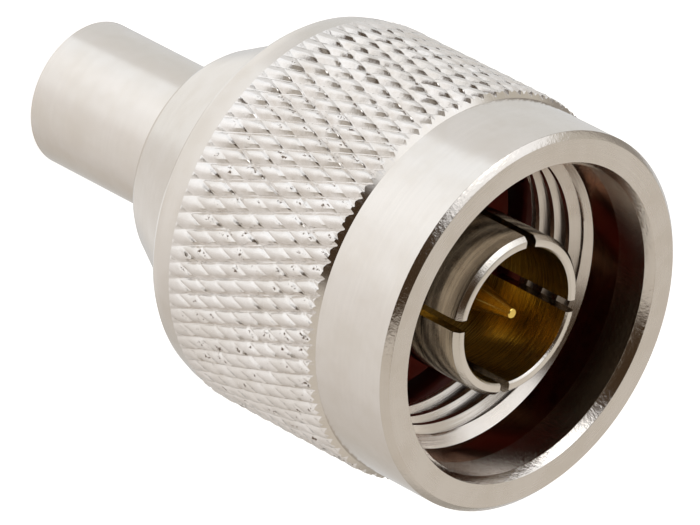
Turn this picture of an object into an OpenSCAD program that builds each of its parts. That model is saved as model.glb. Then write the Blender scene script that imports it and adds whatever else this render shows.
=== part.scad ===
// N-type coaxial cable plug, straight, crimp fitting for a 6.1 mm cable.
// The plug stands on the open end of its crimp ferrule.
// +Z runs along the plug's axis towards the mating end.
// The origin is the centre of the ferrule's open end.

/* [Coupling nut] */
// Height of the nut's front face above the open end of the ferrule
nut_front_z = 32.6; // [32.2:0.1:34]
// Length of the nut from its rear end to its front face
nut_len = 16.85; // [16.6:0.05:17]
// Diameter over the crests of the knurled grip
grip_d = 20.66; // [20.4:0.02:21.4]
// Diameter of the smooth band at the front of the nut
band_d = 19.96; // [19.6:0.02:20.2]
// Length of the smooth front band with its chamfer
band_len = 4.86; // [4.6:0.01:5]
// Diameter at the foot of the shoulder between the grip and the band
step_d = 19.92; // [19.5:0.02:19.94]
// Height of the sloping shoulder between the grip and the band
step_len = 0.34; // [0.2:0.01:0.6]
// Diameter of the smooth counterbore ahead of the thread
counterbore_d = 16.33; // [16.1:0.01:16.5]
// Depth from the front face to the start of the thread
counterbore_depth = 4.1; // [3.6:0.05:4.4]
// Minor diameter of the 5/8-24 coupling thread
thread_minor_d = 14.84; // [14.73:0.01:14.99]
// Length of the coupling thread
thread_len = 4.1; // [3.8:0.05:4.3]

/* [Mating end] */
// Diameter over the spring fingers of the outer contact
finger_d = 8.4; // [8.2:0.02:8.5]
// Bore of the outer contact
finger_bore_d = 7.1; // [7:0.02:7.3]
// Depth of the fingers' tips below the nut's front face
finger_recess = 1.05; // [0.6:0.05:1.6]
// Number of slots that divide the outer contact into fingers
slot_count = 4; // [4:2:6]
// Width of each slot
slot_w = 0.62; // [0.4:0.02:0.8]
// Length of each slot from the fingers' tips
slot_len = 6.8; // [5.5:0.1:7.5]
// Diameter of the centre pin
pin_d = 1.64; // [1.6:0.01:1.68]
// Diameter of the flat end of the centre pin
pin_tip_d = 0.46; // [0.4:0.02:0.6]
// Depth of the pin's tip below the nut's front face
pin_recess = 1.42; // [1.1:0.02:2]
// Length of the pin's taper
pin_taper = 2.8; // [2:0.1:3]

/* [Body] */
// Diameter of the body where it turns in the nut
body_d = 17.2; // [17.1:0.02:17.3]
// Radial clearance between the body and the nut
turn_gap = 0.08; // [0.03:0.01:0.1]
// Diameter at the rear edge of the body's tapered collar
collar_rear_d = 12.3; // [11.8:0.05:12.8]
// Height of the collar's rear face above the open end of the ferrule
collar_z = 10.05; // [9.6:0.05:10.4]
// Height at which the collar's taper ends
collar_top_z = 14.7; // [14.4:0.05:15]
// Axial play of the coupling nut on the body
nut_play = 0.3; // [0.1:0.05:0.4]

/* [Crimp end] */
// Outside diameter of the crimp ferrule
ferrule_d = 7.8; // [7.5:0.05:8.2]
// Wall of the crimp ferrule
ferrule_wall = 0.6; // [0.5:0.05:0.7]
// Outside diameter of the braid stem
stem_d = 5.1; // [4.9:0.02:5.3]
// Bore that takes the cable's dielectric
cable_bore_d = 3.96; // [3.8:0.02:4.1]
// Depth of the braid stem's end inside the ferrule
stem_recess = 0.95; // [0.5:0.05:1.5]

/* [Hidden] */
$fn = 96;

nut_rear_z = nut_front_z - nut_len;
band_z = nut_front_z - band_len;
grip_top_z = band_z - step_len;
grip_bot_z = nut_rear_z + 1.8;
thread_top_z = nut_front_z - counterbore_depth;
thread_bot_z = thread_top_z - thread_len;
relief_r = 8.05;

turn_r = body_d / 2;
body_front_z = 21.35;
shoulder_z = body_front_z + 0.75;

ring_bot_z = 18.65;
ring_t = 0.8;
ring_gap = 0.05;
ring_in_r = 7.95;
ring_out_r = 9.12;

finger_z = nut_front_z - finger_recess;
pin_z = nut_front_z - pin_recess;
boss_r = 5.6;
boss_top_z = body_front_z + 1.3;
skirt_r = 5.35;
skirt_z = 19.5;

gasket_in_r = 5.75;
gasket_out_r = 7.58;
gasket_t = 1.85;

bead_r = 5.0;
bead_z = 15.0;
bead_neck_r = finger_bore_d / 2 - 0.03;
bead_front_z = 22.3;
rear_bead_r = 4.0;
rear_bead_z = 10.5;

pin_shank_r = 1.52;
pin_step_z = 26.0;
pin_collar_r = 1.95;
pin_collar_t = 0.8;
barrel_r = 1.25;
barrel_z = 10.9;
cup_r = 0.75;
cup_depth = 3.2;
slip = 0.02;

ferrule_r = ferrule_d / 2;
ferrule_in_r = ferrule_r - ferrule_wall;
stem_r = stem_d / 2;
cable_r = cable_bore_d / 2;

nickel = [0.84, 0.82, 0.79];
bronze = [0.78, 0.74, 0.66];
silicone = [0.55, 0.08, 0.04];
ptfe = [0.94, 0.94, 0.92];
gold = [0.86, 0.66, 0.25];

// One turned shape from a list of [radius, height] points.
module turned(points) {
    rotate_extrude() polygon(points);
}

// Turned nut: rear band, grip, shoulder, front band, and the stepped bore with the ring's groove.
// The grip is plain at its crest diameter and the thread is plain at its minor diameter.
module coupling_nut() {
    bore_r = turn_r + turn_gap;
    grip_r = grip_d / 2;
    band_r = band_d / 2;
    ring_groove_r = ring_out_r + 0.1;
    color(nickel) turned([
        [bore_r + 0.2, nut_rear_z],
        [9.72, nut_rear_z],
        [9.88, nut_rear_z + 0.08],
        [9.97, nut_rear_z + 0.28],
        [10.14, nut_rear_z + 0.95],
        [grip_r - 0.13, grip_bot_z - 0.12],
        [grip_r, grip_bot_z],
        [grip_r, grip_top_z],
        [step_d / 2, band_z - 0.02],
        [band_r, band_z],
        [band_r, nut_front_z - 0.33],
        [band_r - 0.33, nut_front_z],
        [counterbore_d / 2 + 0.27, nut_front_z],
        [counterbore_d / 2, nut_front_z - 0.5],
        [counterbore_d / 2, thread_top_z],
        [thread_minor_d / 2, thread_top_z - (counterbore_d - thread_minor_d) / 2],
        [thread_minor_d / 2, thread_bot_z + 0.3],
        [relief_r, thread_bot_z],
        [relief_r, shoulder_z],
        [bore_r, shoulder_z],
        [bore_r, ring_bot_z + ring_t + ring_gap],
        [ring_groove_r, ring_bot_z + ring_t + ring_gap],
        [ring_groove_r, ring_bot_z - ring_gap],
        [bore_r, ring_bot_z - ring_gap],
        [bore_r, nut_rear_z + 0.2]
    ]);
}

// Split spring ring that holds the nut on the body.
module retaining_ring() {
    color(bronze) difference() {
        turned([
            [ring_in_r, ring_bot_z],
            [ring_out_r, ring_bot_z],
            [ring_out_r, ring_bot_z + ring_t],
            [ring_in_r, ring_bot_z + ring_t]
        ]);
        translate([-1.1, 5, ring_bot_z - 1]) cube([2.2, 6, ring_t + 2]);
    }
}

// Flat silicone washer on the body's front face, sealed by the mating jack's rim.
module coupling_gasket() {
    color(silicone) turned([
        [gasket_in_r, body_front_z],
        [gasket_out_r, body_front_z],
        [gasket_out_r, body_front_z + gasket_t - 0.15],
        [gasket_out_r - 0.15, body_front_z + gasket_t],
        [gasket_in_r + 0.1, body_front_z + gasket_t],
        [gasket_in_r, body_front_z + gasket_t - 0.1]
    ]);
}

// Body: braid stem with shallow grooves, tapered collar, and the drum that carries the nut.
module plug_body() {
    groove_bot_z = ring_bot_z - ring_gap;
    groove_top_z = ring_bot_z + ring_t + ring_gap + nut_play;
    stem_z = stem_recess;
    grooves = 9;
    color(nickel) turned(concat(
        [[cable_r + 0.25, stem_z], [stem_r - 0.2, stem_z], [stem_r, stem_z + 0.3]],
        [for (i = [0 : grooves - 1]) for (p = [[0, 0], [-0.12, 0.2], [0, 0.4]])
            [stem_r + p[0], stem_z + 1.2 + i * 0.8 + p[1]]],
        [
            [stem_r, collar_z],
            [collar_rear_d / 2 - 0.22, collar_z],
            [collar_rear_d / 2, collar_z + 0.3],
            [turn_r - 0.22, collar_top_z],
            [turn_r, collar_top_z + 0.3],
            [turn_r, groove_bot_z],
            [7.8, groove_bot_z],
            [7.8, groove_top_z],
            [turn_r, groove_top_z],
            [turn_r, body_front_z - 0.15],
            [turn_r - 0.15, body_front_z],
            [skirt_r + slip, body_front_z],
            [skirt_r + slip, skirt_z],
            [bead_r + slip, skirt_z],
            [bead_r + slip, bead_z],
            [rear_bead_r + slip, bead_z],
            [rear_bead_r + slip, rear_bead_z],
            [cable_r, rear_bead_z],
            [cable_r, stem_z + 0.25]
        ]));
}

// Slotted sleeve that grips inside the mating jack, pressed into the body by its skirt.
module outer_contact() {
    tube_r = finger_d / 2;
    bore_r = finger_bore_d / 2;
    color(bronze) difference() {
        turned([
            [bore_r, skirt_z],
            [skirt_r - 0.1, skirt_z],
            [skirt_r, skirt_z + 0.1],
            [skirt_r, body_front_z],
            [boss_r, body_front_z],
            [boss_r, boss_top_z - 0.2],
            [boss_r - 0.2, boss_top_z],
            [tube_r - 0.1, boss_top_z],
            [tube_r - 0.1, finger_z - slot_len],
            [tube_r, finger_z - slot_len + 0.6],
            [tube_r, finger_z - 0.25],
            [tube_r - 0.21, finger_z - 0.02],
            [tube_r - 0.25, finger_z],
            [bore_r + 0.1, finger_z],
            [bore_r, finger_z - 0.1]
        ]);
        for (i = [0 : slot_count / 2 - 1])
            rotate([0, 0, i * 360 / slot_count])
                translate([-tube_r - 1, -slot_w / 2, finger_z - slot_len])
                    cube([2 * tube_r + 2, slot_w, slot_len + 1]);
    }
}

// Stepped bead that centres the contact, held between the body's step and the outer contact.
module front_insulator() {
    color(ptfe) turned([
        [pin_shank_r + slip, bead_z],
        [bead_r, bead_z],
        [bead_r, skirt_z],
        [bead_neck_r, skirt_z],
        [bead_neck_r, bead_front_z - 0.15],
        [bead_neck_r - 0.15, bead_front_z],
        [pin_shank_r + slip, bead_front_z]
    ]);
}

// Rear bead, with a pocket for the contact's collar.
module rear_insulator() {
    color(ptfe) turned([
        [barrel_r + slip, rear_bead_z],
        [rear_bead_r, rear_bead_z],
        [rear_bead_r, bead_z],
        [pin_collar_r + 0.05, bead_z],
        [pin_collar_r + 0.05, bead_z - pin_collar_t],
        [barrel_r + slip, bead_z - pin_collar_t]
    ]);
}

// Centre contact: tapered pin, shank, stop collar, and the solder barrel with its side hole.
module centre_contact() {
    pin_r = pin_d / 2;
    color(gold) difference() {
        turned([
            [0, barrel_z + cup_depth],
            [cup_r, barrel_z + cup_depth],
            [cup_r, barrel_z],
            [barrel_r - 0.1, barrel_z],
            [barrel_r, barrel_z + 0.1],
            [barrel_r, bead_z - pin_collar_t],
            [pin_collar_r, bead_z - pin_collar_t],
            [pin_collar_r, bead_z],
            [pin_shank_r, bead_z],
            [pin_shank_r, pin_step_z - 0.1],
            [pin_shank_r - 0.1, pin_step_z],
            [pin_r, pin_step_z],
            [pin_r, pin_z - pin_taper],
            [pin_tip_d / 2 + 0.04, pin_z - 0.05],
            [pin_tip_d / 2, pin_z],
            [0, pin_z]
        ]);
        translate([0, 0, barrel_z + 1.6]) rotate([90, 0, 0]) cylinder(r = 0.35, h = 3);
    }
}

// Loose tube that is crimped over the cable's braid and the stem.
module crimp_ferrule() {
    color(nickel) turned([
        [ferrule_in_r + 0.12, 0],
        [ferrule_r - 0.08, 0],
        [ferrule_r, 0.08],
        [ferrule_r, collar_z - 0.08],
        [ferrule_r - 0.08, collar_z],
        [ferrule_in_r + 0.12, collar_z],
        [ferrule_in_r, collar_z - 0.12],
        [ferrule_in_r, 0.12]
    ]);
}

coupling_nut();
retaining_ring();
coupling_gasket();
plug_body();
outer_contact();
front_insulator();
rear_insulator();
centre_contact();
crimp_ferrule();
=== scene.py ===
import math
import bmesh
import bpy
import numpy as np
from mathutils import Matrix, Vector


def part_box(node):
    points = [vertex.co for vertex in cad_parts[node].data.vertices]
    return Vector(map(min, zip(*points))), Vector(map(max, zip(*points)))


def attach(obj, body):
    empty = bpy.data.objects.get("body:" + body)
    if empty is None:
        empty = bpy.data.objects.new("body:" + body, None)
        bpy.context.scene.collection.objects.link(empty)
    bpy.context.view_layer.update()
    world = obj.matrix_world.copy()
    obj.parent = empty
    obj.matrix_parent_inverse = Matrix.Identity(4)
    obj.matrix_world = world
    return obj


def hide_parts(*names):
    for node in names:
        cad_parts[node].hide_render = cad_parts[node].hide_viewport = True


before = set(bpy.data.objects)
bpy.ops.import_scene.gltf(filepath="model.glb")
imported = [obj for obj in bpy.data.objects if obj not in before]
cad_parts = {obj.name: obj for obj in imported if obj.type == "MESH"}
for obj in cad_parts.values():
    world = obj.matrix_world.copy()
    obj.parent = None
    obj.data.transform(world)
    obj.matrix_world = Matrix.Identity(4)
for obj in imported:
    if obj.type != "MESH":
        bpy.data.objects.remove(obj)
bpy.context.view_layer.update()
MM = 0.001
TAU = 2 * math.pi


def face_z(node, top=True):
    lo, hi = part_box(node)
    return (hi if top else lo)[2] / MM


# ---------------------------------------------------------------- heights, all in mm, from the CAD's boxes
NUT_Z = face_z("coupling_nut")                 # nut's front face
NUT_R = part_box("coupling_nut")[1][0] / MM      # crest radius of the grip
NUT_B = face_z("coupling_nut", False)          # nut's rear face
FING_Z = face_z("outer_contact")               # tips of the fingers
PIN_Z = face_z("centre_contact")               # tip of the pin
GASK_B, GASK_T = face_z("coupling_gasket", False), face_z("coupling_gasket")
COLLAR_Z = face_z("crimp_ferrule")             # collar's rear face
FERR_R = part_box("crimp_ferrule")[1][0] / MM
STEM_Z = face_z("plug_body", False)
BODY_Z = face_z("plug_body")


# ---------------------------------------------------------------- mesh helpers
def rounded(points, n=4):
    """Profile points (r, z[, radius]) with the marked corners rounded by short arcs."""
    out = []
    for i, p in enumerate(points):
        rad = p[2] if len(p) > 2 else 0
        if not rad or i in (0, len(points) - 1):
            out.append((p[0], p[1]))
            continue
        a, b, c = (Vector(q[:2]) for q in (points[i - 1], p, points[i + 1]))
        u, v = (a - b).normalized(), (c - b).normalized()
        half = math.acos(max(-1, min(1, u.dot(v)))) / 2
        d = min(rad / math.tan(half), (a - b).length * 0.48, (c - b).length * 0.48)
        r = d * math.tan(half)
        centre = b + (u + v).normalized() * (r / math.sin(half))
        p0, p1 = b + u * d, b + v * d
        a0 = math.atan2(p0.y - centre.y, p0.x - centre.x)
        a1 = math.atan2(p1.y - centre.y, p1.x - centre.x)
        while a1 - a0 > math.pi:
            a1 -= TAU
        while a1 - a0 < -math.pi:
            a1 += TAU
        for k in range(n + 1):
            t = a0 + (a1 - a0) * k / n
            out.append((centre.x + r * math.cos(t), centre.y + r * math.sin(t)))
    return out


def finish_mesh(name, verts, faces, mats, index=None, sharp=38, attrs=None):
    me = bpy.data.meshes.new(name)
    me.from_pydata([(x * MM, y * MM, z * MM) for x, y, z in verts], [], faces)
    for m in mats:
        me.materials.append(m)
    if index is not None:
        me.polygons.foreach_set("material_index", index)
    for key, values in (attrs or {}).items():
        me.attributes.new(key, "FLOAT", "POINT").data.foreach_set("value", values)
    bm = bmesh.new()
    bm.from_mesh(me)
    bmesh.ops.remove_doubles(bm, verts=bm.verts, dist=2e-8)
    bmesh.ops.dissolve_degenerate(bm, edges=bm.edges, dist=1e-9)
    bmesh.ops.recalc_face_normals(bm, faces=bm.faces)
    bm.to_mesh(me)
    bm.free()
    me.shade_smooth()
    me.set_sharp_from_angle(angle=math.radians(sharp))
    ob = bpy.data.objects.new(name, me)
    bpy.context.scene.collection.objects.link(ob)
    return ob


def revolve(name, loop, mats, n=256, zone=None, closed=True, sharp=38):
    """Closed ring of profile points turned about Z. Points with r = 0 become one pole each."""
    verts, rings, faces, index = [], [], [], []
    for r, z in loop:
        if r < 1e-6:
            verts.append((0, 0, z))
            rings.append([len(verts) - 1])
        else:
            base = len(verts)
            verts += [(r * math.cos(TAU * i / n), r * math.sin(TAU * i / n), z) for i in range(n)]
            rings.append(list(range(base, base + n)))
    m = len(rings)
    for k in range(m if closed else m - 1):
        a, b = rings[k], rings[(k + 1) % m]
        if len(a) == 1 and len(b) == 1:
            continue
        for i in range(n):
            j = (i + 1) % n
            if len(a) == 1:
                faces.append((a[0], b[j], b[i]))
            elif len(b) == 1:
                faces.append((a[i], a[j], b[0]))
            else:
                faces.append((a[i], a[j], b[j], b[i]))
            index.append(zone(loop[k], loop[(k + 1) % m]) if zone else 0)
    return finish_mesh(name, verts, faces, mats, index, sharp)


# ---------------------------------------------------------------- material helpers
class Graph:
    def __init__(self, name):
        self.m = bpy.data.materials.new(name)
        self.m.use_nodes = True
        self.t = self.m.node_tree
        self.bsdf = self.t.nodes["Principled BSDF"]
        self.n_at = 0

    def node(self, kind, **props):
        x = self.t.nodes.new(kind)
        self.n_at += 1
        x.location = (-200 * (self.n_at // 6) - 300, -160 * (self.n_at % 6))
        for k, v in props.items():
            setattr(x, k, v)
        return x

    def put(self, socket, value):
        if isinstance(value, bpy.types.NodeSocket):
            self.t.links.new(value, socket)
        else:
            socket.default_value = value

    def math(self, op, a, b=None, c=None, clamp=False):
        x = self.node("ShaderNodeMath", operation=op, use_clamp=clamp)
        for i, v in enumerate((a, b, c)):
            if v is not None:
                self.put(x.inputs[i], v)
        return x.outputs[0]

    def noise(self, vec, scale, detail=2.0, rough=0.5, distort=0.0):
        x = self.node("ShaderNodeTexNoise")
        self.put(x.inputs["Vector"], vec)
        x.inputs["Scale"].default_value = scale
        x.inputs["Detail"].default_value = detail
        x.inputs["Roughness"].default_value = rough
        x.inputs["Distortion"].default_value = distort
        return x.outputs["Fac"]

    def remap(self, v, a, b, c, d, smooth=False):
        x = self.node("ShaderNodeMapRange")
        x.interpolation_type = "SMOOTHSTEP" if smooth else "LINEAR"
        self.put(x.inputs[0], v)
        for i, q in enumerate((a, b, c, d)):
            x.inputs[i + 1].default_value = q
        return x.outputs[0]

    def mix(self, f, a, b, mode="MIX"):
        x = self.node("ShaderNodeMix", data_type="RGBA", blend_type=mode)
        self.put(x.inputs[0], f)
        self.put(x.inputs[6], a if isinstance(a, bpy.types.NodeSocket) else (*a, 1))
        self.put(x.inputs[7], b if isinstance(b, bpy.types.NodeSocket) else (*b, 1))
        return x.outputs[2]

    def coords(self):
        """Object position in mm, its radius from Z, and its height."""
        co = self.node("ShaderNodeTexCoord").outputs["Object"]
        mm = self.node("ShaderNodeVectorMath", operation="SCALE")
        self.put(mm.inputs[0], co)
        mm.inputs["Scale"].default_value = 1000
        sep = self.node("ShaderNodeSeparateXYZ")
        self.put(sep.inputs[0], mm.outputs[0])
        x, y, z = sep.outputs
        r = self.math("SQRT", self.math("ADD", self.math("MULTIPLY", x, x), self.math("MULTIPLY", y, y)))
        return mm.outputs[0], x, y, z, r

    def rings(self, x, y, z, r, fine=9.0, wobble=0.02):
        """Coordinates that make any noise into turning lines: they follow radius and height, hardly the angle."""
        c = self.node("ShaderNodeCombineXYZ")
        self.put(c.inputs[0], self.math("MULTIPLY", r, fine))
        self.put(c.inputs[1], self.math("MULTIPLY", z, fine))
        self.put(c.inputs[2], self.math("MULTIPLY", self.math("ARCTAN2", y, x), wobble * fine))
        return c.outputs[0]

    def bump(self, height, strength, distance, normal=None):
        x = self.node("ShaderNodeBump")
        x.inputs["Strength"].default_value = strength
        x.inputs["Distance"].default_value = distance
        self.put(x.inputs["Height"], height)
        if normal is not None:
            self.put(x.inputs["Normal"], normal)
        return x.outputs[0]


def plated(name, base, rough=(0.10, 0.18), turn=0.25, peel=0.25, fine=9.0, tint=None, stain=0.05, speck=0.0, chatter=0.0, cut=0.0):
    """Bright plate over turned metal: faint turning lines, a slight orange peel, uneven polish and small stains."""
    g = Graph(name)
    mm, x, y, z, r = g.coords()
    lines = g.noise(g.rings(x, y, z, r, fine), 1.0, 3.0, 0.6)
    broad = g.noise(g.rings(x, y, z, r, fine * 0.22, 0.3), 1.0, 2.0, 0.5)
    cloud = g.noise(mm, 0.45, 3.0, 0.6)
    grain = g.noise(mm, 9.0, 2.0, 0.5)
    dark = tuple(c * (1 - stain) * k for c, k in zip(base, (1.0, 0.985, 0.96)))
    col = g.mix(g.remap(cloud, 0.35, 0.7, 0, 1, True), base, dark)
    col = g.mix(g.remap(lines, 0.3, 0.75, 0.0, 0.35), col, tuple(c * 0.93 for c in base))
    if tint is not None:
        col = tint(g, col, (mm, x, y, z, r))
    if speck:
        v = g.node("ShaderNodeTexVoronoi", feature="F1")
        g.put(v.inputs["Vector"], mm)
        v.inputs["Scale"].default_value = 0.9
        hit = g.math("MULTIPLY", g.math("LESS_THAN", v.outputs["Distance"], 0.05), speck)
        col = g.mix(hit, col, (0.10, 0.085, 0.06))
    g.put(g.bsdf.inputs["Base Color"], col)
    g.bsdf.inputs["Metallic"].default_value = 1.0
    ro = g.math("ADD", g.remap(cloud, 0.3, 0.7, rough[0], rough[1]), g.remap(lines, 0.3, 0.7, 0.0, 0.05))
    g.put(g.bsdf.inputs["Roughness"], ro)
    n = g.bump(lines, turn, 0.000004)
    n = g.bump(broad, turn * 0.5, 0.00001, n)
    n = g.bump(grain, peel, 0.000003, n)
    if chatter:
        n = g.bump(g.noise(g.rings(x, y, z, r, 5.0, 10.0), 1.0, 3.0, 0.65), chatter, 0.00002, n)
    if cut:
        n = g.bump(g.noise(g.rings(x, y, z, r, 9.0, 0.1), 1.0, 3.0, 0.6), cut, 0.00002, n)
    g.put(g.bsdf.inputs["Normal"], n)
    return g.m


NICKEL = (0.79, 0.755, 0.715)


# Painted shade on the grip: one flank of each groove is darkened to a dull beige, unevenly, and the pits are darkened
# to near black brown
def knurl_painted_shade(g, col, c):
    mm, x, y, z, r = c
    low = g.node("ShaderNodeAttribute", attribute_name="groove").outputs["Fac"]
    pit = g.node("ShaderNodeAttribute", attribute_name="pit").outputs["Fac"]
    # painted shade: darkens one flank of each groove by the groove attribute, unevenly
    flank_shade = g.math("MULTIPLY", low, g.remap(g.noise(mm, 2.2, 3.0), 0.35, 0.7, 0.08, 0.42))
    col = g.mix(flank_shade, col, (0.58, 0.51, 0.43))
    # painted shade: the pits in the diamonds are darkened to near black brown, with ragged edges
    pit_shade = g.math("ADD", pit, g.remap(g.noise(mm, 9.0, 2.0), 0.3, 0.7, -0.28, 0.28))
    return g.mix(g.remap(pit_shade, 0.34, 0.6, 0.0, 0.9, True), col, (0.12, 0.075, 0.045))


def gold_inside(g, col, c):
    """Inside of the outer contact: the warm cast of the plate, in fine turned bands."""
    mm, x, y, z, r = c
    turned = g.noise(g.rings(x, y, z, r, 14.0, 0.12), 1.0, 3.0, 0.7)
    col = g.mix(g.remap(turned, 0.3, 0.7, 0, 1, True), (0.43, 0.33, 0.145), (0.84, 0.645, 0.24))
    return g.mix(g.remap(g.noise(mm, 14.0, 2.0), 0.60, 0.75, 0.0, 0.5, True), col, (0.20, 0.15, 0.08))


def turned_bands_and_shade(g, col, c):
    """Outside of the outer contact: darker and lighter turned bands, thin dark scratches round it, and painted shade
    that lightens towards the finger tips.
    """
    mm, x, y, z, r = c
    bands = g.noise(g.rings(x, y, z, r, 3.2, 0.1), 1.0, 3.0, 0.65)
    col = g.mix(g.remap(bands, 0.42, 0.58, 0.05, 0.9, True), col, (0.23, 0.17, 0.11))
    # painted shade: the outside lightens towards the finger tips near the nut's opening and stays darker further down
    return g.mix(g.remap(z, 28.8, 29.6, 1.0, 0.0, True), g.mix(0.35, col, (0.8, 0.75, 0.66)), col)


nut_polish = plated("nickel_polished", NICKEL, (0.10, 0.16), 0.12, 0.18)
nut_face = plated("nickel_face", tuple(c * 0.97 for c in NICKEL), (0.20, 0.30), 0.8, 3.0, fine=14)
nut_turned = plated("nickel_turned", NICKEL, (0.10, 0.16), 0.6, 0.5, fine=11, chatter=0.9)
nut_knurl = plated("nickel_knurl", (0.875, 0.85, 0.83), (0.13, 0.23), 0.0, 1.1, tint=knurl_painted_shade, stain=0.08)
nut_shoulder = plated("nickel_shoulder", (0.84, 0.81, 0.77), (0.08, 0.14), 0.5, 0.2, fine=12)
# painted reflection: the nickel counterbore is coloured red-brown for the red gasket and dark cavity it mirrors
nut_bore_reflected = plated("nickel_bore_red_reflection", (0.60, 0.37, 0.26), (0.10, 0.15), 0.3, 0.3)
nut_thread = plated("nickel_thread", (0.77, 0.725, 0.675), (0.18, 0.27), 0.8, 0.3, fine=15, cut=0.3)
body_plate = plated("nickel_body", NICKEL, (0.12, 0.18), 0.16, 0.2)
ferrule_plate = plated("nickel_ferrule", NICKEL, (0.13, 0.2), 0.10, 0.3, stain=0.04)
# painted shade: the contact's outside is given a darker brown plate than its nickel tip, for the shade deep in the nut
contact_plate = plated("contact_plate", (0.58, 0.50, 0.385), (0.09, 0.15), 0.4, 0.3, fine=12, tint=turned_bands_and_shade, cut=0.16)
contact_tip = plated("contact_tip", (0.80, 0.765, 0.715), (0.10, 0.18), 0.5, 0.6, fine=12, chatter=0.5)
contact_bore = plated("contact_bore", (0.80, 0.66, 0.36), (0.14, 0.21), 0.9, 0.4, fine=16, tint=gold_inside, cut=1.0)
gold_plate = plated("gold_plate", (0.95, 0.71, 0.19), (0.14, 0.22), 0.4, 0.2)
ring_plate = plated("ring_bronze", (0.62, 0.44, 0.27), (0.25, 0.35), 0.2, 0.4)

g = Graph("silicone_red")
mm, x, y, z, r = g.coords()
mottle = g.noise(mm, 1.6, 4.0, 0.6)
g.put(g.bsdf.inputs["Base Color"], g.mix(mottle, (0.22, 0.020, 0.008), (0.30, 0.032, 0.014)))
g.put(g.bsdf.inputs["Roughness"], g.remap(mottle, 0.3, 0.7, 0.42, 0.58))
g.put(g.bsdf.inputs["Normal"], g.bump(g.noise(mm, 22.0, 3.0), 0.3, 0.00001))
g.bsdf.inputs["Subsurface Weight"].default_value = 0.0
silicone = g.m

g = Graph("ptfe_white")
mm, x, y, z, r = g.coords()
lines = g.noise(g.rings(x, y, z, r, 12.0), 1.0, 2.0)
g.put(g.bsdf.inputs["Base Color"], g.mix(lines, (0.86, 0.86, 0.84), (0.92, 0.92, 0.90)))
g.put(g.bsdf.inputs["Roughness"], g.remap(lines, 0.3, 0.7, 0.35, 0.5))
g.put(g.bsdf.inputs["Normal"], g.bump(lines, 0.3, 0.00001))
ptfe = g.m


# ---------------------------------------------------------------- coupling nut
STARTS = 73            # ridges of each hand around the grip
K1, K2 = 0.441, 0.361  # their turns per mm of length, in ridge pitches
PITCH = 25.4 / 24
MINOR_R, ROOT_R = 7.42, 7.94
COLS = 300             # columns of the turned parts of the nut
# across one groove pitch, groove bottom to groove bottom: where the samples lie and how deep each is
CUT1 = [(0.0, 0.245), (0.04, 0.225), (0.12, 0.135), (0.26, 0.064), (0.41, 0.016), (0.56, 0.0), (0.77, 0.062), (0.95, 0.232)]
CUT2 = [(0.0, 0.155), (0.04, 0.142), (0.12, 0.066), (0.20, 0.034), (0.32, 0.010), (0.52, 0.0), (0.78, 0.030), (0.95, 0.132)]
# weights of the painted shade on one flank of each groove, at the CUT1 samples
FLANK_SHADE1 = [0.1, 0.0, 0.0, 0.0, 0.0, 0.2, 1.0, 0.75]
PIT1, PIT2 = 0.40, 0.20
SHIFT = 0.4245


def grip_profile(z):
    """Turned outside of the nut about the grip: nothing of the grip stands outside it."""
    pts = [(17.43, 10.20), (17.55, 10.33), (27.40, 10.33), (27.72, 9.96)]
    if z <= pts[0][0]:
        return pts[0][1]
    for (za, ra), (zb, rb) in zip(pts, pts[1:]):
        if z <= zb:
            return ra + (rb - ra) * (z - za) / (zb - za)
    return pts[-1][1]


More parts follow.
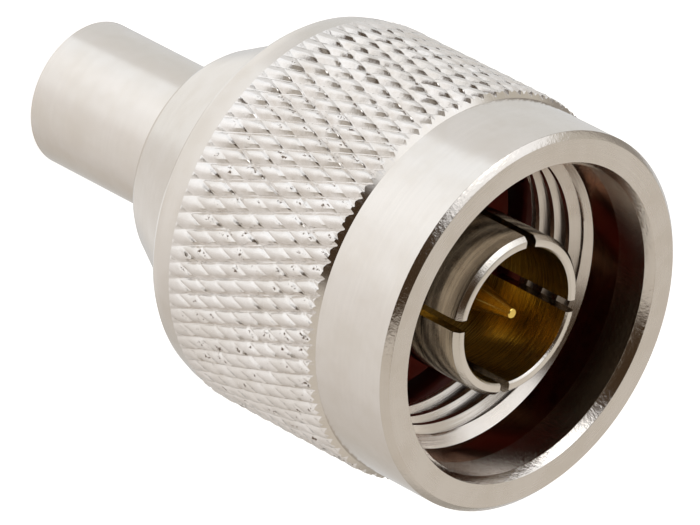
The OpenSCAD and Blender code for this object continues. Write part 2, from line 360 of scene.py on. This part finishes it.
def grip_mesh():
    """Diamond grip: grooves of two hands with blunt diamonds between them, each with a small pit. The vertices lie
    on both hands' groove lines; the ends are cut exactly by the turned profile."""
    m1, m2 = len(CUT1), len(CUT2)
    zlo, zhi = 17.43, 27.72
    rnd = np.random.RandomState(11)
    shape = (24, STARTS)
    high1, high2, pit, lean, wide, tail = (rnd.rand(*shape) for _ in range(6))

    def cell(table, i, j):
        return table[(i - j) % shape[0], j % STARTS]

    def at(i, j):
        pi, qi = i // m1, j // m2
        (u, c1), (v, c2) = CUT1[i % m1], CUT2[j % m2]
        p, q = pi + u, qi + v
        z = 17.55 + (p - q + SHIFT) / (K1 + K2)
        a = TAU / STARTS * (p + 0.04 - K1 * (z - 17.55))
        # each groove's depth drifts along it from crossing to crossing
        k = pi + (u > 0.5)
        d1 = c1 * (0.88 + 0.24 * (cell(high1, k, qi) * (1 - v) + cell(high1, k, qi + 1) * v))
        k = qi + (v > 0.5)
        d2 = c2 * (0.45 + 1.0 * (cell(high2, pi, k) * (1 - u) + cell(high2, pi + 1, k) * u))
        d = max(d1, d2) + 0.25 * min(d1, d2)
        d += 0.03 * (cell(lean, pi, qi) - 0.5) * (u - 0.5) + 0.03 * (cell(wide, pi, qi) - 0.5) * (v - 0.5)
        w = 0.0
        k = cell(pit, pi, qi)
        if k > 0.3 and -0.15 < u - PIT1 < 0.20 and -0.1 < v - PIT2 < 0.13:
            near = 1.0 if (u, v) == (PIT1, PIT2) else 0.75 * cell(tail, pi * 5 + i % m1, qi * 3 + j % m2) ** 2
            w = near * min(1, (k - 0.3) / 0.35)
            d += 0.11 * w
        fade = min(1, max(0, (z - zlo) / 1.5))
        d *= 0.38 + 0.62 * fade
        r = NUT_R - max(0, d)
        return [r * math.cos(a), r * math.sin(a), z, FLANK_SHADE1[i % m1] * fade, w * fade]

    pts, ids, tris = [], {}, []

    def vid(i, j):
        if j >= m2 * STARTS:
            i, j = i - m1 * STARTS, j - m2 * STARTS
        if (i, j) not in ids:
            ids[(i, j)] = len(pts)
            pts.append(at(i, j))
        return ids[(i, j)]

    low = (K1 + K2) * (zlo - 17.55) - SHIFT
    high = (K1 + K2) * (zhi - 17.55) - SHIFT
    for j in range(m2 * STARTS):
        q = j // m2
        for i in range(int((q + math.floor(low) - 1) * m1), int((q + math.ceil(high) + 3) * m1)):
            zs = [17.55 + ((ii // m1 + CUT1[ii % m1][0]) - (jj // m2 + CUT2[jj % m2][0]) + SHIFT) / (K1 + K2)
                  for ii, jj in ((i, j), (i + 1, j), (i, j + 1), (i + 1, j + 1))]
            if max(zs) <= zlo or min(zs) >= zhi:
                continue
            a, b, c, d = vid(i, j), vid(i + 1, j), vid(i + 1, j + 1), vid(i, j + 1)
            tris += [(a, b, c), (a, c, d)]

    def split(tris, f, keep=0):
        """Cut the triangles along f = 0; keep = 1 or -1 leaves only that side."""
        val = [f(p) for p in pts]
        made, out = {}, []

        def mid(a, b):
            key = (a, b) if a < b else (b, a)
            if key not in made:
                a, b = key
                t = val[a] / (val[a] - val[b])
                made[key] = len(pts)
                pts.append([x + (y - x) * t for x, y in zip(pts[a], pts[b])])
            return made[key]

        for t in tris:
            sg = [0 if abs(val[v]) < 2e-4 else (1 if val[v] > 0 else -1) for v in t]
            if 1 in sg and -1 in sg:
                for want in (1, -1):
                    if keep and want != keep:
                        continue
                    poly = []
                    for k in range(3):
                        a, b, sa, sb = t[k], t[(k + 1) % 3], sg[k], sg[(k + 1) % 3]
                        if sa in (0, want):
                            poly.append(a)
                        if sa * sb < 0:
                            poly.append(mid(a, b))
                    out += [(poly[0], poly[k], poly[k + 1]) for k in range(1, len(poly) - 1)]
            elif not keep or keep in sg:
                out.append(t)
        return out

    tris = split(tris, lambda p: p[2] - zlo, 1)
    tris = split(tris, lambda p: zhi - p[2], 1)
    tris = split(tris, lambda p: p[2] - 17.55)
    tris = split(tris, lambda p: p[2] - 27.40)
    tris = split(tris, lambda p: math.hypot(p[0], p[1]) - grip_profile(p[2]))
    used = sorted({v for t in tris for v in t})
    at_new = {v: k for k, v in enumerate(used)}
    tris = [tuple(at_new[v] for v in t) for t in tris]
    final = []
    for v in used:
        x, y, z, g, w = pts[v]
        z = zlo if abs(z - zlo) < 3e-4 else zhi if abs(z - zhi) < 3e-4 else z
        r = math.hypot(x, y)
        k = min(r, grip_profile(z)) / r
        final.append((x * k, y * k, z, g, w))
    edge = {}
    for t in tris:
        for k in range(3):
            e = (t[k], t[(k + 1) % 3])
            edge[e] = edge.get(e, 0) + 1
    rim = {v for (a, b) in edge if (b, a) not in edge for v in (a, b)}
    ends = []
    for lim in (zlo, zhi):
        ends.append(sorted((v for v in rim if abs(final[v][2] - lim) < 1e-6),
                           key=lambda v: math.atan2(final[v][1], final[v][0]) % TAU))
    on = [p[2] > 27.399 and abs(math.hypot(p[0], p[1]) - grip_profile(p[2])) < 1e-4 for p in final]
    return final, tris, ends[0], ends[1], [5 if all(on[v] for v in t) else 2 for t in tris]


def nut():
    n2 = COLS
    turn = -TAU / STARTS * K1 * 9.85
    data, faces, rear_rim, front_rim, index = grip_mesh()
    verts = [p[:3] for p in data]
    # groove and pit carry the weights of the painted shade on the grip's groove flanks and in its pits
    groove = [p[3] for p in data]
    pits = [p[4] for p in data]

    def ring(r, z, n=n2, low=0.0):
        base = len(verts)
        for i in range(n):
            a = turn + TAU * i / n
            verts.append((r * math.cos(a), r * math.sin(a), z))
        groove.extend([low] * n)
        pits.extend([0.0] * n)
        return list(range(base, base + n))

    def bridge(a, b, mat):
        n = len(a)
        for i in range(n):
            faces.append((a[i], a[(i + 1) % n], b[(i + 1) % n], b[i]))
            index.append(mat)

    def zip_rings(a, b, mat):
        """Join two closed rings of any vertex counts, each step taking the ring that lags in angle."""
        def angles(ids):
            an = [math.atan2(verts[v][1], verts[v][0]) % TAU for v in ids]
            k = an.index(min(an))
            return ids[k:] + ids[:k] + [ids[k]], an[k:] + an[:k] + [an[k] + TAU]
        a, ta = angles(a)
        b, tb = angles(b)
        i = j = 0
        while i < len(a) - 1 or j < len(b) - 1:
            if j == len(b) - 1 or (i < len(a) - 1 and ta[i + 1] <= tb[j + 1]):
                faces.append((a[i], a[i + 1], b[j]))
                i += 1
            else:
                faces.append((a[i], b[j + 1], b[j]))
                j += 1
            index.append(mat)

    # outside in front of the grip, front face, bore down to the thread
    band = 9.98
    up = rounded([(band, 27.745), (band, NUT_Z - 2.4), (band, NUT_Z - 0.33, 0.05), (9.65, NUT_Z, 0.04), (9.05, NUT_Z),
                  (8.435, NUT_Z, 0.05), (8.165, NUT_Z - 0.5, 0.05), (8.165, NUT_Z - 2.3), (8.165, NUT_Z - 4.1)], 3)
    zone = lambda p, q: (1 if abs(p[1] - q[1]) < 1e-4 and q[0] < 9.63 and p[1] > NUT_Z - 0.01 else
                         4 if p[1] > NUT_Z - 0.52 else 6 if p[0] < 8.2 else 0)
    prev, last = None, None
    for r, z in up:
        now = ring(r, z)
        if prev:
            bridge(prev, now, zone(last, (r, z)))
        else:
            zip_rings(front_rim, now, 5)
        prev, last = now, (r, z)
    # thread: columns of a helix, cut off by the lead-in cone and the run-out cone
    za, zb = NUT_Z - 8.2, NUT_Z - 4.1
    per = 16
    step = PITCH / per
    offset = 0.075 * PITCH
    kmin = math.floor((za - offset - PITCH) / step)
    kmax = math.ceil((zb - offset) / step) + 1

    def thread_r(u, z):
        u = abs((u + 0.5) % 1.0 - 0.5)
        f = min(1, max(0, (u - 0.0625) / 0.3125))
        lead = 8.165 - (zb - z)
        out = 8.05 - (z - za) * (0.63 / 0.3)
        return max(ROOT_R - (ROOT_R - MINOR_R) * f, lead, out)

    cols = []
    for i in range(n2):
        a = turn + TAU * i / n2
        col = []
        for k in range(kmin, kmax + 1):
            z = min(zb, max(za, k * step + offset + PITCH * i / n2))
            u = (k % per) / per
            if z in (za, zb):
                u = (z - offset - PITCH * i / n2) / PITCH
            r = thread_r(u, z)
            verts.append((r * math.cos(a), r * math.sin(a), z))
            groove.append(0.0)
            pits.append(0.0)
            col.append(len(verts) - 1)
        cols.append(col)
    m = kmax - kmin + 1
    for i in range(n2):
        a, b = cols[i], cols[(i + 1) % n2]
        shift = per if i == n2 - 1 else 0
        for k in range(-shift, m - 1):
            ka, kb = k, k - 0
            if shift:
                ka, kb = k, k + per
                if kb + 1 >= m:
                    continue
                if ka < 0:
                    continue
            q = (a[ka], b[kb], b[kb + 1], a[ka + 1])
            zs = [verts[v][2] for v in q]
            if max(zs) - min(zs) < 1e-9:
                continue
            keep = [v for n_, v in enumerate(q) if verts[v] != verts[q[n_ - 1]]]
            if len(keep) >= 3:
                faces.append(tuple(keep))
                index.append(3)
    # bore from the thread to the rear face and up to the grip again
    down = rounded([(8.05, za), (8.05, NUT_Z - 10.5, 0.08), (8.68, NUT_Z - 10.5, 0.04), (8.68, 19.5, 0.03), (9.22, 19.5, 0.03),
                    (9.22, 18.6, 0.03), (8.68, 18.6, 0.03), (8.68, NUT_B + 0.2, 0.04), (8.86, NUT_B, 0.05), (9.76, NUT_B, 0.14),
                    (9.965, NUT_B + 0.30, 0.2), (10.14, NUT_B + 0.95), (10.195, 17.40)], 3)
    prev = None
    for r, z in down:
        now = ring(r, z)
        if prev:
            bridge(prev, now, 0)
        prev = now
    zip_rings(rear_rim, prev, 0)
    ob = finish_mesh("coupling_nut_turned", verts, faces, [nut_polish, nut_face, nut_knurl, nut_thread, nut_turned, nut_shoulder, nut_bore_reflected],
                     index, 34, {"groove": groove, "pit": pits})
    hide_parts("coupling_nut")
    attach(ob, "nut")
    return ob


nut_ob = nut()


# ---------------------------------------------------------------- crimp ferrule and body
ri = FERR_R - 0.6
ob = revolve("crimp_ferrule_tube", rounded([(ri, 5.0), (ri, 0.12, 0.05), (ri + 0.12, 0.0, 0.04), (FERR_R - 0.07, 0.0, 0.03), (FERR_R, 0.07, 0.03),
                                            (FERR_R, 5.0), (FERR_R, COLLAR_Z - 0.08, 0.04), (FERR_R - 0.08, COLLAR_Z, 0.03),
                                            (ri + 0.12, COLLAR_Z, 0.03), (ri, COLLAR_Z - 0.12, 0.03), (ri, 5.01)], 3), [ferrule_plate], 256)
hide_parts("crimp_ferrule"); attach(ob, "plug")

stem = 2.55
pts = [(1.98, 4.0), (1.98, STEM_Z + 0.25), (2.23, STEM_Z), (stem - 0.2, STEM_Z, 0.03), (stem, STEM_Z + 0.3, 0.03)]
for i in range(9):
    zc = STEM_Z + 1.2 + i * 0.8
    pts += [(stem, zc), (stem - 0.12, zc + 0.2), (stem, zc + 0.4)]
pts += [(stem, COLLAR_Z, 0.0), (5.93, COLLAR_Z, 0.05), (6.15, COLLAR_Z + 0.3, 0.06), (8.38, 14.7, 0.5), (8.60, 15.0, 0.3), (8.60, 18.6, 0.02),
        (7.8, 18.6, 0.02), (7.8, 19.8, 0.02), (8.6, 19.8, 0.02), (8.6, BODY_Z - 0.15), (8.45, BODY_Z, 0.05), (5.37, BODY_Z, 0.02),
        (5.37, 19.5), (5.02, 19.5), (5.02, 15.0), (4.02, 15.0), (4.02, 10.5), (1.98, 10.5, 0.0), (1.98, 4.01)]
ob = revolve("plug_body_turned", rounded(pts, 4), [body_plate], 256)
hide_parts("plug_body"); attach(ob, "plug")


# ---------------------------------------------------------------- outer contact
def outer_contact():
    per = 40                       # columns in each finger
    half = 0.31
    slots = 4
    zs = FING_Z - 6.8
    tube, bore = 4.2, 3.55
    outer = rounded([(tube - 0.1, 22.65), (tube - 0.1, zs), (tube, zs + 0.6, 0.6), (tube, FING_Z - 0.25, 0.03),
                     (tube - 0.21, FING_Z - 0.02, 0.015), (tube - 0.25, FING_Z), (bore + 0.10, FING_Z, 0.03), (bore, FING_Z - 0.10, 0.03),
                     (bore, zs)], 3)
    base = rounded([(bore, zs), (bore, 19.5, 0.02), (5.25, 19.5), (5.35, 19.6), (5.35, BODY_Z, 0.0), (5.6, BODY_Z, 0.02),
                    (5.6, 22.45), (5.4, 22.65, 0.04), (tube - 0.1, 22.65)], 3)
    # outer[1] is the ring at zs on the outside
    cut = next(i for i, p in enumerate(outer) if abs(p[1] - zs) < 1e-9)
    low_out, top = outer[:cut + 1], outer[cut:]
    columns = []                   # (slot centre angle, side, finger fraction)
    for s in range(slots):
        c = TAU * s / slots
        columns += [("edge", c, -1), ("mid", c, 0), ("edge", c, 1)]
        columns += [("free", c, k / per) for k in range(1, per)]
    verts, faces = [], []

    def angle(col, r):
        kind, c, v = col
        e = math.asin(half / r)
        if kind == "mid":
            return c
        if kind == "edge":
            return c + v * e
        return c + e + (TAU / slots - 2 * e) * v

    def ring(p):
        ids = []
        for col in columns:
            a = angle(col, p[0])
            verts.append((p[0] * math.cos(a), p[0] * math.sin(a), p[1]))
            ids.append(len(verts) - 1)
        return ids

    n = len(columns)
    full = [ring(p) for p in low_out]
    upper = [full[-1]] + [ring(p) for p in top[1:]]
    lower = [upper[-1]] + [ring(p) for p in base[1:-1]] + [full[0]]

    def strip(a, b, skip):
        for i in range(n):
            j = (i + 1) % n
            inslot = columns[i][0] in ("edge", "mid") and not (columns[i][0] == "edge" and columns[i][2] == 1)
            if skip and inslot:
                continue
            faces.append((a[i], a[j], b[j], b[i]))

    for a, b in zip(full, full[1:]):
        strip(a, b, False)
    for a, b in zip(upper, upper[1:]):
        strip(a, b, True)
    for a, b in zip(lower, lower[1:]):
        strip(a, b, False)
    for s in range(slots):
        i0 = s * (3 + per - 1)
        o, q = upper[0], upper[-1]
        faces.append((o[i0], o[i0 + 1], q[i0 + 1], q[i0]))
        faces.append((o[i0 + 1], o[i0 + 2], q[i0 + 2], q[i0 + 1]))
        faces.append(tuple(rg[i0] for rg in upper))
        faces.append(tuple(rg[i0 + 2] for rg in reversed(upper)))
    used = sorted({v for f in faces for v in f})
    at = {v: k for k, v in enumerate(used)}
    verts = [verts[v] for v in used]
    faces = [tuple(at[v] for v in f) for f in faces]
    index = []
    for f in faces:
        r = sum(math.hypot(*verts[v][:2]) for v in f) / len(f)
        z = sum(verts[v][2] for v in f) / len(f)
        index.append(2 if r < bore + 0.03 and z < FING_Z - 0.11 else 1 if z > FING_Z - 0.26 and r > bore - 0.01 else 0)
    ob = finish_mesh("outer_contact_fingers", verts, faces, [contact_plate, contact_tip, contact_bore], index, 38)
    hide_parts("outer_contact"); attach(ob, "plug")
    return ob


outer_contact()

# ---------------------------------------------------------------- centre contact, gasket
ob = revolve("centre_contact_pin", rounded([
    (0, 14.1), (0.75, 14.1), (0.75, 10.9, 0.03), (1.15, 10.9, 0.03), (1.25, 11.0), (1.25, 14.2), (1.95, 14.2, 0.03), (1.95, 15.0, 0.03),
    (1.52, 15.0), (1.52, 25.9, 0.04), (1.42, 26.0, 0.03), (0.82, 26.0), (0.82, PIN_Z - 2.8, 0.6), (0.262, PIN_Z - 0.045, 0.04),
    (0.225, PIN_Z, 0.03), (0, PIN_Z)], 4), [gold_plate], 128, closed=False)
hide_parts("centre_contact"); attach(ob, "plug")

ob = revolve("coupling_gasket_ring", rounded([
    (6.6, GASK_B), (7.58, GASK_B, 0.04), (7.58, GASK_T - 0.15, 0.12), (7.43, GASK_T, 0.12), (6.5, GASK_T), (5.85, GASK_T, 0.08),
    (5.75, GASK_T - 0.1, 0.08), (5.75, GASK_B, 0.04), (6.59, GASK_B)], 4), [silicone], 200)
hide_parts("coupling_gasket"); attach(ob, "plug")

# ---------------------------------------------------------------- pieces that stay as the CAD has them
for name, mat in (("retaining_ring", ring_plate), ("front_insulator", ptfe), ("rear_insulator", ptfe)):
    o = bpy.data.objects.get(name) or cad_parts[name]
    o.data.materials.clear()
    o.data.materials.append(mat)

# ---------------------------------------------------------------- camera
cam = bpy.data.cameras.new("camera")
cam.lens, cam.sensor_width, cam.sensor_fit = 473.52, 36.0, "HORIZONTAL"
cam.clip_start, cam.clip_end = 0.01, 20
co = bpy.data.objects.new("camera", cam)
bpy.context.scene.collection.objects.link(co)
right = Vector((-0.16544925, 0.70957507, 0.68493048))
up = Vector((-0.92464263, 0.12995005, -0.35797903))
back = Vector((-0.34301974, -0.69254329, 0.63460323))
m = Matrix((right, up, back)).transposed().to_4x4()
m.translation = Vector((-0.15532962, -0.31689118, 0.31035346))
co.matrix_world = m
bpy.context.scene.camera = co

# ---------------------------------------------------------------- floor, world and lights
fm = bpy.data.meshes.new("floor")
fm.from_pydata([(-3, -3, 0), (3, -3, 0), (3, 3, 0), (-3, 3, 0)], [], [(0, 1, 2, 3)])
floor = bpy.data.objects.new("floor", fm)
bpy.context.scene.collection.objects.link(floor)
floor_mat = bpy.data.materials.new("floor_pale")
floor_mat.use_nodes = True
fb = floor_mat.node_tree.nodes["Principled BSDF"]
fb.inputs["Base Color"].default_value = (0.85, 0.85, 0.85, 1)
fb.inputs["Roughness"].default_value = 0.9
fb.inputs["Specular IOR Level"].default_value = 0.0
fb.inputs["Emission Color"].default_value = (1, 1, 1, 1)
fb.inputs["Emission Strength"].default_value = 0.78
fm.materials.append(floor_mat)
floor.visible_glossy = False      # the polished metal is lit by the studio's white table below, not by this sheet
floor.visible_diffuse = False

world = bpy.data.worlds.new("studio")
bpy.context.scene.world = world
world.use_nodes = True
wt = world.node_tree
bg = wt.nodes["Background"]
FRONT = math.atan2(back.y, back.x)     # the studio is laid out about this azimuth


def wnode(kind, **props):
    x = wt.nodes.new(kind)
    for k, v in props.items():
        setattr(x, k, v)
    return x


def wput(socket, v):
    if isinstance(v, bpy.types.NodeSocket):
        wt.links.new(v, socket)
    else:
        socket.default_value = v


def wmath(op, a, b=None, c=None):
    x = wnode("ShaderNodeMath", operation=op)
    for i, v in enumerate((a, b, c)):
        if v is not None:
            wput(x.inputs[i], v)
    return x.outputs[0]


def step(v, lo, hi):
    x = wnode("ShaderNodeMapRange", interpolation_type="SMOOTHSTEP")
    wput(x.inputs[0], v)
    x.inputs[1].default_value, x.inputs[2].default_value = lo, hi
    x.inputs[3].default_value, x.inputs[4].default_value = 0, 1
    return x.outputs[0]


def blend(fac, a, b):
    mx = wnode("ShaderNodeMix", data_type="RGBA")
    wput(mx.inputs[0], fac)
    for k, v in ((6, a), (7, b)):
        wput(mx.inputs[k], (*v, 1) if isinstance(v, tuple) else v)
    return mx.outputs[2]


def around(stops):
    """Colour by azimuth in degrees from the front, a soft change between neighbours. Values are over 1.3."""
    x = wnode("ShaderNodeValToRGB")
    x.color_ramp.interpolation = "EASE"
    el = x.color_ramp.elements
    while len(el) > 1:
        el.remove(el[-1])
    for i, (deg, c) in enumerate(stops):
        e = el[0] if i == 0 else el.new((deg + 180) / 360)
        e.position = (deg + 180) / 360
        e.color = (*[k / 1.3 for k in c], 1)
    wput(x.inputs[0], azimuth)
    return x.outputs[0]


rot = wnode("ShaderNodeVectorRotate", rotation_type="Z_AXIS")
wput(rot.inputs["Vector"], wnode("ShaderNodeTexCoord").outputs["Generated"])
rot.inputs["Angle"].default_value = -FRONT
sep = wnode("ShaderNodeSeparateXYZ")
wput(sep.inputs[0], rot.outputs[0])
azimuth = wmath("MULTIPLY_ADD", wmath("ARCTAN2", sep.outputs[1], sep.outputs[0]), 1 / TAU, 0.5)
elev = wmath("MULTIPLY", wmath("ARCSINE", sep.outputs[2]), 180 / math.pi)

WARM = (0.63, 0.575, 0.51)
DARK = (0.052, 0.030, 0.015)
SOFT = (1.13, 1.13, 1.14)
walls = around([(-180, (0.70, 0.645, 0.58)), (-150, (0.60, 0.555, 0.49)), (-112, (0.56, 0.52, 0.46)), (-100, SOFT),
                (-42, SOFT), (-26, DARK), (34, DARK), (48, WARM), (120, WARM), (180, (0.70, 0.645, 0.58))])
table = around([(-180, (0.70, 0.70, 0.70)), (-125, (0.78, 0.78, 0.77)), (-76, (0.84, 0.83, 0.82)), (-68, (1.10, 1.12, 1.14)),
                (-25, (1.17, 1.17, 1.17)), (5, (1.06, 1.045, 1.03)), (37, (0.88, 0.845, 0.815)), (60, (0.82, 0.785, 0.75)),
                (82, (0.765, 0.725, 0.69)), (100, (0.70, 0.66, 0.625)), (116, (0.64, 0.595, 0.55)), (145, (0.60, 0.57, 0.535)),
                (180, (0.70, 0.70, 0.70))])
under = around([(-180, (0.98, 0.97, 0.95)), (-90, (1.04, 1.03, 1.01)), (0, (1.0, 0.985, 0.965)), (40, (0.92, 0.89, 0.86)),
                (90, (0.80, 0.76, 0.72)), (140, (0.80, 0.77, 0.74)), (180, (0.98, 0.97, 0.95))])
roof = around([(-180, (0.5, 0.46, 0.4)), (-140, (0.33, 0.30, 0.27)), (-80, (0.30, 0.28, 0.25)), (-40, (0.05, 0.032, 0.018)),
               (45, (0.05, 0.032, 0.018)), (100, (0.42, 0.38, 0.33)), (180, (0.5, 0.46, 0.4))])
gap = around([(-180, (0.36, 0.33, 0.29)), (-125, (0.30, 0.27, 0.24)), (-92, (0.11, 0.085, 0.06)), (-58, (0.08, 0.055, 0.035)),
              (-24, (0.08, 0.055, 0.035)), (6, (0.34, 0.31, 0.27)), (35, (0.50, 0.46, 0.41)), (70, (0.55, 0.51, 0.46)),
              (180, (0.36, 0.33, 0.29))])
low = blend(step(elev, -17, -10), blend(step(elev, -60, -48), under, table), gap)
sky = blend(step(elev, 4, 12), low, blend(step(elev, 52, 66), walls, roof))
seen = wnode("ShaderNodeLightPath").outputs["Is Camera Ray"]
wput(bg.inputs["Color"], blend(seen, sky, (0.76, 0.76, 0.76)))
bg.inputs["Strength"].default_value = 1.3


def area(name, azim, elevation, dist, size, radiance, target=(0, 0, 0.025)):
    """Square soft light by azimuth from the front and elevation, in degrees, and the brightness of its face."""
    a, e = FRONT + math.radians(azim), math.radians(elevation)
    d = Vector((math.cos(a) * math.cos(e), math.sin(a) * math.cos(e), math.sin(e)))
    li = bpy.data.lights.new(name, "AREA")
    li.shape, li.size = "SQUARE", size
    li.energy = radiance * math.pi * size * size
    lo = bpy.data.objects.new(name, li)
    bpy.context.scene.collection.objects.link(lo)
    lo.location = Vector(target) + d * dist
    lo.rotation_mode = "QUATERNION"
    lo.rotation_quaternion = (-d).to_track_quat("-Z", "Y")
    return lo


area("key_soft", -62, 20, 1.6, 0.8, 1.25)

bpy.context.scene.view_settings.view_transform = "Standard"
bpy.context.scene.view_settings.look = "None"
